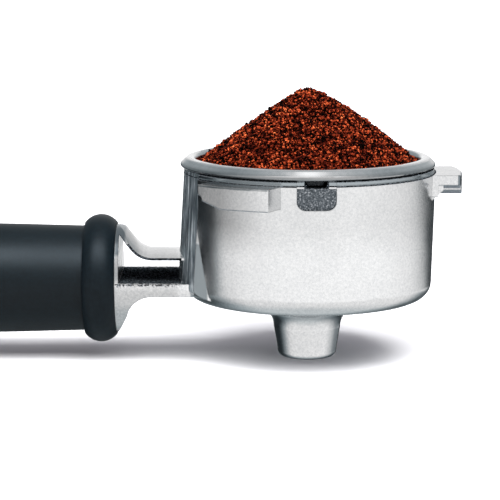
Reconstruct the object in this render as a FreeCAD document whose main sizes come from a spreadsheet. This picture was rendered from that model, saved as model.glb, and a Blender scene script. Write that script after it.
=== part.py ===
"""Espresso portafilter with a 54 mm basket, as a parametric model, in millimetres.

The filter holder is one die casting: a drafted cup with three bayonet lugs, a pry notch for the basket,
a short drip spout, a split neck of two arms and a tang.  The tang runs into the handle, which is a hard
core under a soft grip, held by one long bolt from the far end.  The pressed basket hangs in the cup by
its rolled rim and is held by a wire spring, and it carries a heap of ground coffee.

Frame: the origin is on the cup's axis, on the seat where the basket's rim rests.  +Z is up and the
handle runs along -X.
"""

import FreeCAD
import Part
import math
import os

import Sketcher

Vector = FreeCAD.Vector
PAST = 1.0  # how far an outline that cuts reaches past the surface that it cuts
doc = FreeCAD.newDocument("Portafilter")

# ---------------------------------------------------------------- driving dimensions

SIZES = [
    # the cup of the casting
    ("cup_radius", 31.4, "outer radius just under the seat's land"),
    ("cup_base_radius", 30.6, "outer radius where the wall meets the base corner"),
    ("cup_height", 32.35, "seat to the underside of the base, at its corner"),
    ("cup_corner", 4.2, "outer rounding between wall and base"),
    ("land_radius", 31.0, "outer radius of the narrow land under the rim"),
    ("land_height", 0.9, "height of that land"),
    ("land_step", 0.3, "height of the step from the land to the wall"),
    ("cup_bore", 28.2, "radius of the cup's inside"),
    ("chamber_depth", 29.3, "seat to the floor of the cup"),
    ("chamber_corner", 2.4, "inner rounding between wall and floor"),
    ("floor_fall", 0.6, "how far the floor falls towards the outlet"),
    # the patch of wall that carries the neck
    ("patch_half_width", 15.6, "half width of the patch"),
    ("patch_top_radius", 30.35, "patch radius at the seat"),
    ("patch_base_radius", 31.9, "patch radius where its lower corner starts"),
    ("relief_half_width", 16.6, "half width where the wall is cut back to the patch, at the wall"),
    ("cheek_run", 3.6, "how far a cheek beside the patch runs back along X"),
    ("cheek_width", 3.05, "width of a cheek"),
    ("cheek_back", 10.0, "cup axis to the back of the patch's body, inside the wall"),
    ("patch_corner", 2.4, "rounding at the patch's lower edge"),
    # spring groove and pry notch
    ("spring_groove_radius", 29.95, "radius of the retaining spring's groove"),
    ("spring_groove_height", 1.7, "height of that groove"),
    ("spring_depth", 9.6, "seat to the spring's plane"),
    ("pry_offset", 1.3, "shift of pry pocket and notch along X"),
    ("pry_width", 9.3, "width of the pry pocket"),
    ("pry_depth", 6.7, "seat to the bottom of the pry pocket"),
    ("pry_floor", 29.95, "cup axis to the flat floor of the pocket"),
    ("pry_corner", 2.2, "corner radius of the pry pocket"),
    ("notch_width", 5.6, "width of the notch through the wall"),
    ("notch_depth", 1.5, "depth of the notch through the wall"),
    ("notch_slope", 0.7, "how much each end of the notch slopes in"),
    # bayonet lugs
    ("lug_radius", 37.8, "outer radius of the lugs"),
    ("lug_top", 1.1, "seat down to the top of a lug"),
    ("lug_bottom", 6.4, "seat down to the bottom of a lug"),
    ("lug_tip_half", 9.5, "half width of a lug at its tip"),
    ("lug_root_half", 9.0, "half width of a lug inside the wall"),
    ("lug_root", 24.0, "cup axis to where a lug's body starts inside the wall"),
    ("lug_lead", 6.7, "length of the lead-in at a lug's clockwise end"),
    ("lug_lead_rise", 1.6, "how far the lead-in rises"),
    ("lug_lead_corner", 1.3, "rounding at the end of the lead-in"),
    ("gusset_reach", 2.7, "how far the gusset under a lead-in reaches out from the wall"),
    ("gusset_inset", 0.45, "lug's clockwise end to the gusset's end face"),
    ("gusset_depth", 7.3, "seat down to the gusset's foot"),
    ("lug_edge", 0.35, "edge rounding on the lugs"),
    # spout
    ("spout_root_radius", 8.25, "outer radius of the spout under its fillet"),
    ("spout_tip_radius", 7.3, "outer radius above the tip's rounding"),
    ("spout_length", 14.85, "base to tip"),
    ("spout_root_fillet", 5.2, "rounding between base and spout"),
    ("base_slope", 10.0, "angle at which the base falls to that rounding"),
    ("base_fall", 2.4, "how far the base falls between its corner and that rounding"),
    ("spout_tip_fillet", 1.4, "rounding at the spout's tip"),
    ("spout_bore", 4.9, "radius of the bore for the insert"),
    ("spout_bore_length", 11.6, "length of the insert's bore"),
    ("throat_radius", 3.8, "radius of the throat above the insert"),
    ("throat_ease", 0.5, "height of the cone between bore and throat"),
    # neck
    ("axis_drop", 27.8, "seat down to the handle's axis"),
    ("bell_radius", 13.3, "radius of the neck at the handle"),
    ("plate_x", 46.1, "cup axis to the near face of the bell plate"),
    ("plate_thickness", 4.5, "thickness of the bell plate"),
    ("arm_root", 26.0, "cup axis to where the arms start inside the wall"),
    ("arm_bottom", 22.05, "seat down to the underside of the upper arm"),
    ("arm_edge", 0.6, "thickness of the upper arm at its edges"),
    ("arm_crown", 0.85, "how much thicker the upper arm is in its middle"),
    ("arm_half_width", 9.0, "half width of the upper arm"),
    ("arm_bend", 6.5, "radius of the upper arm's lower bend, at its underside"),
    ("arm_bend_x", 38.0, "cup axis to the start of that bend"),
    ("arm_rise", 51.0, "angle at which the arm climbs to the bell, degrees"),
    ("arm_climb", 3.8, "length of the straight climb"),
    ("arm_crest_bend", 2.0, "radius of the bend at the top of the climb"),
    ("arm_tail", 1.5, "how far the upper arm runs into the bell plate"),
    ("bar_top", 27.2, "seat down to the top of the lower arm"),
    ("bar_bottom", 30.4, "seat down to the underside of the lower arm"),
    ("bar_bend", 6.2, "radius under the lower arm's bend"),
    ("bar_bend_x", 38.0, "cup axis to the start of that bend"),
    ("bar_heel_x", 44.1, "cup axis to where the bend turns into the heel"),
    ("bar_heel_z", 35.6, "seat down to that point"),
    ("heel_x", 46.9, "cup axis to the bottom of the heel"),
    ("heel_z", 41.3, "seat down to the bottom of the heel"),
    # tang
    ("tang_radius", 6.0, "radius of the tang"),
    ("tang_flat", 4.6, "half height over the tang's flats"),
    ("tang_length", 52.0, "length of the tang behind the bell plate"),
    ("tapped_depth", 18.0, "depth of the bolt's hole in the tang"),
    ("bolt_hole", 3.0, "radius of that hole"),
    # basket
    ("rim_radius", 31.3, "outer radius of the basket's rim"),
    ("rim_height", 2.65, "height of the rim above the seat"),
    ("rim_crown", 29.0, "radius where the rim is highest"),
    ("rim_flank", 30.0, "radius where the rim's sloping flank turns into its crown"),
    ("rim_flank_drop", 0.4, "how far that point lies under the top of the rim"),
    ("rim_edge", 0.7, "height of the rim's widest line"),
    ("rim_under_round", 1.15, "rounding under the rim's edge"),
    ("rim_edge_round", 0.9, "rounding above the rim's edge"),
    ("rim_edge_rise", 0.6, "height of the rounding above the widest line"),
    ("rim_edge_inset", 0.3, "how far the rounding turns in over that height"),
    ("rim_crown_round", 1.6, "rounding between the flank and the crown"),
    ("rim_inner", 28.4, "radius where the rim's top turns down into the mouth"),
    ("rim_inner_round", 1.3, "rounding of that turn"),
    ("mouth_top", 1.6, "height of the top of the mouth"),
    ("mouth_base", 0.4, "height where the mouth meets the basket's wall"),
    ("mouth_round", 1.6, "rounding between mouth and wall"),
    ("rim_foot", 30.3, "radius where the rim's underside leaves the seat"),
    ("rim_mouth", 27.5, "radius of the mouth"),
    ("basket_radius", 27.0, "inner radius of the basket"),
    ("basket_outer", 27.5, "outer radius of the basket"),
    ("basket_depth", 24.6, "seat to the underside of the basket"),
    ("basket_taper", 5.4, "height of the tapered foot of the basket"),
    ("basket_base_radius", 25.2, "outer radius of the basket's floor"),
    ("basket_sheet", 0.6, "sheet thickness of the basket's floor"),
    ("hole_radius", 0.45, "radius of one perforation"),
    ("hole_pitch", 4.7, "distance between rings of perforations"),
    # coffee
    ("heap_height", 19.3, "seat to the top of the heap"),
    ("heap_edge", 1.0, "seat to the edge of the heap"),
    ("heap_shoulder", 9.0, "radius where the heap's cone turns into its top"),
    ("heap_shoulder_z", 15.9, "seat to that point"),
    ("coffee_gap", 0.1, "gap between coffee and basket"),
    # retaining spring
    ("wire_radius", 0.6, "radius of the spring's wire"),
    ("spring_radius", 29.2, "radius of the wire's centre line"),
    ("bend_half_angle", 14.8, "half of the angle that one straight bend covers, degrees"),
    ("gap_half_angle", 12.0, "half of the spring's open gap, degrees"),
    # spout insert
    ("insert_radius", 4.85, "outer radius of the insert"),
    ("insert_bore", 3.8, "inner radius of the insert"),
    ("insert_length", 10.9, "length of the insert"),
    ("insert_recess", 0.3, "how far the insert sits inside the spout's tip"),
    ("insert_chamfer", 0.4, "chamfer at the insert's leading edge"),
    ("insert_web", 1.4, "thickness of the insert's dividing web"),
    ("insert_web_height", 8.4, "height of that web"),
    # handle
    ("collar_x", 47.0, "cup axis to the collar's near side"),
    ("collar_width", 7.8, "width of the collar ring"),
    ("collar_radius", 15.8, "outer radius of the collar ring"),
    ("collar_shoulder", 13.9, "outer radius at the collar's sides"),
    ("collar_bore", 13.35, "bore of the collar ring"),
    ("collar_lip", 8.0, "bore of the lip inside the collar ring"),
    ("collar_lip_width", 1.2, "thickness of that lip"),
    ("grip_start", 12.95, "grip radius at the collar"),
    ("grip_belly", 14.3, "largest radius of the grip"),
    ("grip_belly_x", 130.0, "cup axis to that largest radius"),
    ("grip_end", 13.7, "grip radius at the end cap"),
    ("grip_end_x", 170.0, "cup axis to the end of the grip"),
    ("grip_curve", 4000.0, "radius of the grip's flank towards the collar"),
    ("grip_tail_curve", 1200.0, "radius of the grip's flank towards the cap"),
    ("grip_skin", 2.0, "thickness of the soft grip"),
    ("handle_gap", 0.05, "gap between the handle's parts"),
    ("core_front", 13.3, "radius of the core inside the collar ring"),
    ("core_tang_end", 104.0, "cup axis to the end of the tang's socket"),
    ("bolt_seat", 128.0, "cup axis to the face under the washers"),
    ("bolt_well", 7.6, "radius of the well for the bolt's head"),
    ("bolt_clearance", 3.3, "radius of the bolt's hole in the core"),
    ("bolt_radius", 2.95, "radius of the bolt's shank"),
    ("bolt_tip", 88.0, "cup axis to the tip of the bolt"),
    ("bolt_head_radius", 5.0, "radius of the bolt's head"),
    ("bolt_head_height", 6.0, "height of the bolt's head"),
    ("bolt_chamfer", 0.5, "chamfer of the bolt's tip and head"),
    ("bolt_socket", 2.9, "radius over the corners of the bolt's hexagon socket"),
    ("bolt_socket_depth", 3.3, "depth of that socket"),
    ("washer_radius", 6.2, "outer radius of the flat washer"),
    ("washer_bore", 3.2, "bore of the flat washer"),
    ("washer_thickness", 1.2, "thickness of the flat washer"),
    ("lock_radius", 5.3, "outer radius of the spring washer"),
    ("lock_bore", 3.1, "bore of the spring washer"),
    ("lock_thickness", 1.6, "thickness of the spring washer"),
    ("cap_length", 8.0, "length of the end cap outside the grip"),
    ("cap_side_radius", 13.9, "radius where the cap's side turns into its rounding"),
    ("cap_face_radius", 10.3, "radius where the rounding meets the cap's flat end"),
    ("cap_round", 3.2, "rounding of the cap"),
    ("cap_web", 3.0, "thickness of the cap's end under the disc"),
    ("cap_spigot", 9.0, "length of the cap's spigot in the core"),
    ("cap_spigot_radius", 7.5, "radius of that spigot"),
    ("cap_hollow", 5.6, "radius of the hollow in the cap"),
    ("disc_radius", 9.4, "radius of the disc in the cap"),
    ("disc_thickness", 0.8, "thickness of that disc"),
    ("disc_chamfer", 0.2, "chamfer of the disc's edge"),
]

sheet = doc.addObject("Spreadsheet::Sheet", "Sizes")
for row, (alias, value, note) in enumerate(SIZES, start=1):
    sheet.set("A%d" % row, alias)
    sheet.set("B%d" % row, str(value))
    sheet.set("C%d" % row, note)
    sheet.setAlias("B%d" % row, alias)
doc.recompute()


class Size:
    """A length from the sheet, or a sum of them: its number, and the expression that says it."""

    def __init__(self, value, text):
        self.value = float(value)
        self.text = text

    def __add__(self, other):
        other = size(other)
        return Size(self.value + other.value, "(%s + %s)" % (self.text, other.text))

    def __sub__(self, other):
        other = size(other)
        return Size(self.value - other.value, "(%s - %s)" % (self.text, other.text))

    def __mul__(self, factor):
        factor = size(factor)
        return Size(self.value * factor.value, "(%s * %s)" % (self.text, factor.text))

    def __neg__(self):
        return Size(-self.value, "(0 - %s)" % self.text)


def size(item):
    """A Size from an alias of the sheet or from a plain number."""
    if isinstance(item, Size):
        return item
    if isinstance(item, str):
        return Size(sheet.get(item), "Sizes.%s" % item)
    return Size(item, repr(float(item)))


def polar(radius, angle):
    """X and Y of the point at that radius and that angle in degrees."""
    radius, angle = size(radius), size(angle)
    turn = math.radians(angle.value)
    return (
        Size(radius.value * math.cos(turn), "(%s * cos(%s))" % (radius.text, angle.text)),
        Size(radius.value * math.sin(turn), "(%s * sin(%s))" % (radius.text, angle.text)),
    )


def on_circle(radius, across):
    """The distance from the centre line of a chord's end that lies `across` off that line."""
    radius, across = size(radius), size(across)
    value = math.sqrt(radius.value**2 - across.value**2)
    return Size(value, "sqrt(%s ^ 2 - %s ^ 2)" % (radius.text, across.text))


def bind(obj, prop, item):
    """Sets a property of obj from the sheet."""
    obj.setExpression(prop, size(item).text)


# ---------------------------------------------------------------- helpers for sketches and features


def new_body(name):
    body = doc.addObject("PartDesign::Body", name)
    body.Label = name
    return body


def origin_plane(body, role):
    return [f for f in body.Origin.OriginFeatures if f.Role == role][0]


def new_sketch(body, name, role, offset=None):
    """A sketch on one of the body's origin planes, moved along the plane's normal by offset."""
    sketch = body.newObject("Sketcher::SketchObject", name)
    sketch.AttachmentSupport = (origin_plane(body, role), [""])
    sketch.MapMode = "FlatFace"
    if offset is not None:
        sketch.setExpression("AttachmentOffset.Base.z", size(offset).text)
    return sketch


def place_point(sketch, geo, pos, x, y):
    """Ties a vertex of the sketch to its two coordinates, which are Sizes."""
    for kind, item, axis in (("DistanceX", x, -2), ("DistanceY", y, -1)):
        item = size(item)
        if item.value == 0:
            sketch.addConstraint(Sketcher.Constraint("PointOnObject", geo, pos, axis))
        else:
            index = sketch.addConstraint(Sketcher.Constraint(kind, -1, 1, geo, pos, item.value))
            sketch.setExpression("Constraints[%d]" % index, item.text)


def arc_between(start, end, radius, side):
    """The arc of that radius from start to end; side is +1 for a centre left of the chord."""
    chord = end - start
    height = math.sqrt(max(radius**2 - (chord.Length / 2) ** 2, 0))
    left = Vector(-chord.y, chord.x, 0).normalize()
    centre = (start + end) * 0.5 + left * height * side
    first = math.atan2(start.y - centre.y, start.x - centre.x)
    last = math.atan2(end.y - centre.y, end.x - centre.x)
    circle = Part.Circle(centre, Vector(0, 0, 1), radius)
    if side > 0:
        return Part.ArcOfCircle(circle, first, last), (1, 2)
    return Part.ArcOfCircle(circle, last, first), (2, 1)


def outline(sketch, corners):
    """A closed outline. A corner is (x, y), or (x, y, radius, side) if an arc leads to it."""
    points = [Vector(size(c[0]).value, size(c[1]).value, 0) for c in corners]
    base = sketch.GeometryCount
    ends = []
    for i, corner in enumerate(corners):
        start, end = points[i - 1], points[i]
        if len(corner) == 4:
            radius, side = size(corner[2]), corner[3]
            arc, order = arc_between(start, end, radius.value, side)
            sketch.addGeometry(arc)
            index = sketch.addConstraint(Sketcher.Constraint("Radius", base + i, radius.value))
            sketch.setExpression("Constraints[%d]" % index, radius.text)
            ends.append(order)
        else:
            sketch.addGeometry(Part.LineSegment(start, end))
            ends.append((1, 2))
    for i, corner in enumerate(corners):
        following = (i + 1) % len(corners)
        sketch.addConstraint(
            Sketcher.Constraint("Coincident", base + i, ends[i][1], base + following, ends[following][0])
        )
        place_point(sketch, base + i, ends[i][1], corner[0], corner[1])


def open_path(sketch, stations, bends):
    """An open path through the stations. bends gives (radius, side) for the pieces that are arcs."""
    points = [Vector(size(x).value, size(y).value, 0) for x, y in stations]
    last = (-1, 0)
    for i, (start, end) in enumerate(zip(points, points[1:])):
        order = (1, 2)
        if i in bends:
            radius = size(bends[i][0])
            arc, order = arc_between(start, end, radius.value, bends[i][1])
            sketch.addGeometry(arc)
            index = sketch.addConstraint(Sketcher.Constraint("Radius", i, radius.value))
            sketch.setExpression("Constraints[%d]" % index, radius.text)
        else:
            sketch.addGeometry(Part.LineSegment(start, end))
        if i == 0:
            place_point(sketch, 0, 1, *stations[0])
        else:
            sketch.addConstraint(Sketcher.Constraint("Coincident", last[0], last[1], i, order[0]))
        place_point(sketch, i, order[1], *stations[i + 1])
        last = (i, order[1])


def circle(sketch, x, y, radius):
    radius = size(radius)
    centre = Vector(size(x).value, size(y).value, 0)
    geo = sketch.addGeometry(Part.Circle(centre, Vector(0, 0, 1), radius.value))
    index = sketch.addConstraint(Sketcher.Constraint("Radius", geo, radius.value))
    sketch.setExpression("Constraints[%d]" % index, radius.text)
    place_point(sketch, geo, 3, x, y)


def revolve(body, sketch, axis="V_Axis"):
    feature = body.newObject("PartDesign::Revolution", sketch.Name + "_turned")
    feature.Profile = sketch
    feature.ReferenceAxis = (sketch, [axis])
    feature.Angle = 360
    sketch.Visibility = False
    doc.recompute()
    return feature


def pad(body, sketch, length, reverse=False):
    feature = body.newObject("PartDesign::Pad", sketch.Name + "_pad")
    feature.Profile = sketch
    bind(feature, "Length", length)
    feature.Reversed = reverse
    doc.recompute()
    return feature


def pocket(body, sketch, length, reverse=False, midplane=False):
    """Cuts the sketch's outline out, and makes sure that it did cut."""
    before = body.Shape.Volume
    feature = body.newObject("PartDesign::Pocket", sketch.Name + "_cut")
    feature.Profile = sketch
    bind(feature, "Length", length)
    feature.Reversed = reverse
    feature.Midplane = midplane
    doc.recompute()
    if body.Shape.Volume > before - 1e-6:
        raise RuntimeError("%s cut nothing" % feature.Name)
    return feature


def turn_out(body, sketch):
    """Turns the sketch's outline out of the body, about the vertical axis."""
    before = body.Shape.Volume
    feature = body.newObject("PartDesign::Groove", sketch.Name + "_turned")
    feature.Profile = sketch
    feature.ReferenceAxis = (sketch, ["V_Axis"])
    feature.Angle = 360
    sketch.Visibility = False
    doc.recompute()
    if body.Shape.Volume > before - 1e-6:
        raise RuntimeError("%s cut nothing" % feature.Name)
    return feature


def round_edges(body, radius, test):
    """Rounds every edge of the body's tip whose middle passes test(middle)."""
    base = body.Tip
    names = []
    for number, edge in enumerate(base.Shape.Edges, start=1):
        middle = edge.valueAt((edge.FirstParameter + edge.LastParameter) / 2)
        if test(middle):
            names.append("Edge%d" % number)
    if not names:
        raise RuntimeError("%s: no edge to round" % body.Name)
    feature = body.newObject("PartDesign::Fillet", base.Name + "_rounded")
    feature.Base = (base, names)
    bind(feature, "Radius", radius)
    base.Visibility = False
    doc.recompute()
    return feature


def combine(body, other, kind):
    """Fuses, cuts or intersects the body with another body."""
    feature = body.newObject("PartDesign::Boolean", "%s_%s" % (other.Name, kind.lower()))
    feature.setObjects([other])
    feature.Type = kind
    doc.recompute()
    return feature


def polar_pattern(body, originals, count):
    """Repeats the features around the vertical axis."""
    feature = body.newObject("PartDesign::PolarPattern", originals[0].Name + "_around")
    feature.Originals = originals
    feature.Axis = (originals[0].Profile[0], ["N_Axis"])
    feature.Angle = 360
    feature.Occurrences = count
    body.Tip = feature
    doc.recompute()
    return feature


def drop_to_handle_axis(body):
    body.setExpression("Placement.Base.z", "-Sizes.axis_drop")


def turned(name, corners, axis="V_Axis"):
    """A body that is one outline in the XZ plane, turned about the vertical or the handle's axis."""
    body = new_body(name)
    sketch = new_sketch(body, name + "_outline", "XZ_Plane")
    outline(sketch, corners)
    revolve(body, sketch, axis)
    if axis == "H_Axis":
        drop_to_handle_axis(body)
    return body


# ---------------------------------------------------------------- filter holder

holder = new_body("filter_holder")

# The cup and its spout, outside.
cup = new_sketch(holder, "cup", "XZ_Plane")
base = -size("cup_height")
spout_bottom = base - "spout_length"
ease_rise, ease_run = polar("spout_root_fillet", "base_slope")
ease_top = base - "base_fall"
outline(
    cup,
    [
        (0, 0),
        (0, spout_bottom),
        (size("spout_tip_radius") - "spout_tip_fillet", spout_bottom),
        ("spout_tip_radius", spout_bottom + "spout_tip_fillet", "spout_tip_fillet", 1),
        ("spout_root_radius", ease_top - ease_rise),
        (size("spout_root_radius") + "spout_root_fillet" - ease_run, ease_top, "spout_root_fillet", -1),
        (size("cup_base_radius") - "cup_corner", base),
        ("cup_base_radius", base + "cup_corner", "cup_corner", 1),
        ("cup_radius", -size("land_height") - "land_step"),
        ("land_radius", -size("land_height")),
        ("land_radius", 0),
    ],
)
revolve(holder, cup)

# Three lugs. The underside of each slopes up to its clockwise end, where a gusset meets the wall.
lead_start = size("lug_lead") - "lug_tip_half"
lead_end = size("lug_lead_corner") - "lug_tip_half"
lead_ceiling = -size("lug_bottom") + "lug_lead_rise"
past_tip = -size("lug_tip_half") - PAST
lug_tip_x = on_circle("lug_radius", "lug_tip_half")
lug = new_sketch(holder, "lug", "XY_Plane", -size("lug_bottom"))
outline(
    lug,
    [
        ("lug_root", -size("lug_root_half")),
        (lug_tip_x, -size("lug_tip_half")),
        (lug_tip_x, "lug_tip_half", "lug_radius", 1),
        ("lug_root", "lug_root_half"),
    ],
)
lug_pad = pad(holder, lug, size("lug_bottom") - "lug_top")
lead = new_sketch(holder, "lead_in", "YZ_Plane", "cup_radius")
outline(
    lead,
    [
        (lead_end, lead_ceiling, "lug_lead_corner", -1),
        (lead_start, -size("lug_bottom")),
        (lead_start, -size("lug_bottom") - PAST),
        (past_tip, -size("lug_bottom") - PAST),
        (past_tip, lead_ceiling + "lug_lead_corner"),
        (-size("lug_tip_half"), lead_ceiling + "lug_lead_corner"),
    ],
)
lead_cut = pocket(holder, lead, size("lug_radius") - "cup_radius", reverse=True)
gusset = new_sketch(holder, "gusset", "XZ_Plane", -lead_start)
gusset_foot = on_circle("cup_radius", "lug_tip_half")
outline(
    gusset,
    [
        ("lug_root", lead_ceiling + "lug_lead_corner"),
        ("lug_root", -size("gusset_depth")),
        (gusset_foot, -size("gusset_depth")),
        (gusset_foot + "gusset_reach", lead_ceiling),
        (gusset_foot + "gusset_reach", lead_ceiling + "lug_lead_corner"),
    ],
)
gusset_pad = pad(holder, gusset, size("lug_lead") - "gusset_inset")
polar_pattern(holder, [lug_pad, lead_cut, gusset_pad], 3)


def on_lug_tip(middle):
    return math.hypot(middle.x, middle.y) > sheet.lug_radius - sheet.lug_edge


round_edges(holder, "lug_edge", on_lug_tip)

# The patch of wall behind the neck leans outwards while the cup leans inwards. Near the seat it lies
# inside the cup's wall, so the wall is first cut back to it.
patch_foot = -size("bar_bottom") + "patch_corner"
outer_side = size("lug_radius") * 1.6
relief = new_body("patch_relief")
relief_profile = new_sketch(relief, "relief_profile", "XZ_Plane")
outline(
    relief_profile,
    [
        ("patch_top_radius", 0),
        ("patch_base_radius", patch_foot),
        (outer_side, patch_foot),
        (outer_side, PAST),
        ("patch_top_radius", PAST),
    ],
)
revolve(relief, relief_profile)
relief_plan = new_sketch(relief, "relief_plan", "XY_Plane", patch_foot - PAST)
relief_start = -on_circle("patch_top_radius", "patch_half_width")
relief_end = -on_circle("cup_radius", "relief_half_width")
far = outer_side * 1.2
outline(relief_plan, [(-far, -far), (far, -far), (far, far), (-far, far)])
outline(
    relief_plan,
    [
        (-size("lug_radius"), -size("relief_half_width")),
        (relief_end, -size("relief_half_width")),
        (relief_start, -size("patch_half_width")),
        (relief_start, "patch_half_width"),
        (relief_end, "relief_half_width"),
        (-size("lug_radius"), "relief_half_width"),
    ],
)
pocket(relief, relief_plan, "cup_height", reverse=True)
combine(holder, relief, "Cut")

patch = new_body("neck_patch")
patch_profile = new_sketch(patch, "patch_profile", "XZ_Plane")
outline(
    patch_profile,
    [
        (0, 0),
        (0, -size("bar_bottom")),
        (size("patch_base_radius") - "patch_corner", -size("bar_bottom")),
        ("patch_base_radius", patch_foot, "patch_corner", 1),
        ("patch_top_radius", 0),
    ],
)
revolve(patch, patch_profile)

# The patch's cheeks slope back into the cup's wall from two straight edges.
cheeks = new_body("patch_cheeks")


def cheeks_plan(name, level, radius):
    """The patch's body cut at one level where the patch has that radius, open towards the handle."""
    section = new_sketch(cheeks, name, "XY_Plane", level)
    edge_x = -on_circle(radius, "patch_half_width")
    cheek_x = edge_x + "cheek_run"
    cheek_y = size("patch_half_width") + "cheek_width"
    outline(
        section,
        [
            (-size("lug_radius"), -size("patch_half_width")),
            (edge_x, -size("patch_half_width")),
            (cheek_x, -cheek_y),
            (-size("cheek_back"), -cheek_y),
            (-size("cheek_back"), cheek_y),
            (cheek_x, cheek_y),
            (edge_x, "patch_half_width"),
            (-size("lug_radius"), "patch_half_width"),
        ],
    )
    section.Visibility = False
    return section


loft = cheeks.newObject("PartDesign::AdditiveLoft", "cheeks")
loft.Profile = cheeks_plan("cheeks_top", size(0), "patch_top_radius")
loft.Sections = [cheeks_plan("cheeks_foot", patch_foot, "patch_base_radius")]
loft.Ruled = True
doc.recompute()
sill = cheeks_plan("cheeks_sill", patch_foot, "patch_base_radius")
pad(cheeks, sill, size("patch_corner") + PAST, reverse=True)
combine(patch, cheeks, "Common")
combine(holder, patch, "Fuse")

# The lower arm is a round bar with its top milled off and a scoop below; the plate closes it at the collar.
neck = new_body("neck")
bar = new_sketch(neck, "neck_bar", "YZ_Plane", -size("plate_x") - "plate_thickness")
circle(bar, 0, -size("axis_drop"), "bell_radius")
pad(neck, bar, size("plate_x") + "plate_thickness" - "arm_root")
sides = new_sketch(neck, "bar_profile", "XZ_Plane")
sides_near = -size("arm_root") + PAST
sides_top = -size("axis_drop") + "bell_radius" + PAST
sides_base = -size("axis_drop") - "bell_radius" - PAST
outline(
    sides,
    [
        (sides_near, sides_top),
        (-size("plate_x"), sides_top),
        (-size("plate_x"), -size("bar_top")),
        (sides_near, -size("bar_top")),
    ],
)
outline(
    sides,
    [
        (sides_near, -size("bar_bottom")),
        (-size("bar_bend_x"), -size("bar_bottom")),
        (-size("bar_heel_x"), -size("bar_heel_z"), "bar_bend", 1),
        (-size("heel_x"), -size("heel_z")),
        (-size("heel_x"), sides_base),
        (sides_near, sides_base),
    ],
)
pocket(neck, sides, size("bell_radius") * 3, midplane=True)

# The upper arm is a crowned blade, swept along its underside from the cup up to the bell's crest.
blade = new_body("upper_arm")
section = new_sketch(blade, "blade_section", "YZ_Plane", -size("arm_root"))
edge_top = -size("arm_bottom") + "arm_edge"
crown = Size(
    (sheet.arm_half_width**2 + sheet.arm_crown**2) / (2 * sheet.arm_crown),
    "((Sizes.arm_half_width ^ 2 + Sizes.arm_crown ^ 2) / (2 * Sizes.arm_crown))",
)
outline(
    section,
    [
        (-size("arm_half_width"), -size("arm_bottom")),
        ("arm_half_width", -size("arm_bottom")),
        ("arm_half_width", edge_top),
        (-size("arm_half_width"), edge_top, crown, 1),
    ],
)
path = new_sketch(blade, "blade_path", "XZ_Plane")
drop, reach = polar("arm_bend", "arm_rise")
climb_x, climb_z = polar("arm_climb", "arm_rise")
crest_z, crest_x = polar("arm_crest_bend", "arm_rise")
stations = [
    (-size("arm_root"), -size("arm_bottom")),
    (-size("arm_bend_x"), -size("arm_bottom")),
    (-size("arm_bend_x") - reach, -size("arm_bottom") + "arm_bend" - drop),
]
stations.append((stations[2][0] - climb_x, stations[2][1] + climb_z))
stations.append((stations[3][0] - crest_x, stations[3][1] + "arm_crest_bend" - crest_z))
stations.append((-size("plate_x") - "arm_tail", stations[4][1]))
bends = {1: ("arm_bend", -1), 3: ("arm_crest_bend", 1)}
open_path(path, stations, bends)
sweep = blade.newObject("PartDesign::AdditivePipe", "blade")
sweep.Profile = section
sweep.Spine = (path, ["Edge%d" % (i + 1) for i in range(len(stations) - 1)])
path.Visibility = False
section.Visibility = False
doc.recompute()
bell = new_body("bell_envelope")
bell_circle = new_sketch(bell, "bell_circle", "YZ_Plane", -size("plate_x") - size("arm_tail") * 0.5)
circle(bell_circle, 0, -size("axis_drop"), "bell_radius")
pad(bell, bell_circle, "plate_x")
combine(blade, bell, "Common")
combine(neck, blade, "Fuse")

# The tang, with its flats and the tapped hole for the handle's bolt.
tang = new_sketch(neck, "tang", "YZ_Plane", -size("plate_x") - "plate_thickness")
circle(tang, 0, -size("axis_drop"), "tang_radius")
tang_pad = pad(neck, tang, "tang_length", reverse=True)
flats = new_sketch(neck, "tang_flats", "YZ_Plane", -size("plate_x") - "plate_thickness")
flat_reach = size("tang_radius") * 1.5
for side in (-1, 1):
    flat_z = -size("axis_drop") + size("tang_flat") * side
    outline(
        flats,
        [
            (-flat_reach, flat_z),
            (flat_reach, flat_z),
            (flat_reach, flat_z + flat_reach * side),
            (-flat_reach, flat_z + flat_reach * side),
        ],
    )
pocket(neck, flats, "tang_length")
bolt_hole = new_sketch(neck, "bolt_hole", "YZ_Plane", -size("plate_x") - "plate_thickness" - "tang_length")
circle(bolt_hole, 0, -size("axis_drop"), "bolt_hole")
pocket(neck, bolt_hole, "tapped_depth", reverse=True)
combine(holder, neck, "Fuse")

# The inside: chamber with the spring's groove, throat, and the bore for the spout's insert.
inside = new_sketch(holder, "inside", "XZ_Plane")
groove_top = -size("spring_depth") + size("spring_groove_height") * 0.5
groove_base = -size("spring_depth") - size("spring_groove_height") * 0.5
floor = -size("chamber_depth")
bore_top = spout_bottom + "spout_bore_length"
outline(
    inside,
    [
        (0, PAST),
        (0, spout_bottom - PAST),
        ("spout_bore", spout_bottom - PAST),
        ("spout_bore", bore_top),
        ("throat_radius", bore_top + "throat_ease"),
        ("throat_radius", floor - "floor_fall"),
        (size("cup_bore") - "chamber_corner", floor),
        ("cup_bore", floor + "chamber_corner", "chamber_corner", 1),
        ("cup_bore", groove_base),
        ("spring_groove_radius", groove_base),
        ("spring_groove_radius", groove_top),
        ("cup_bore", groove_top),
        ("cup_bore", PAST),
    ],
)
turn_out(holder, inside)

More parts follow.
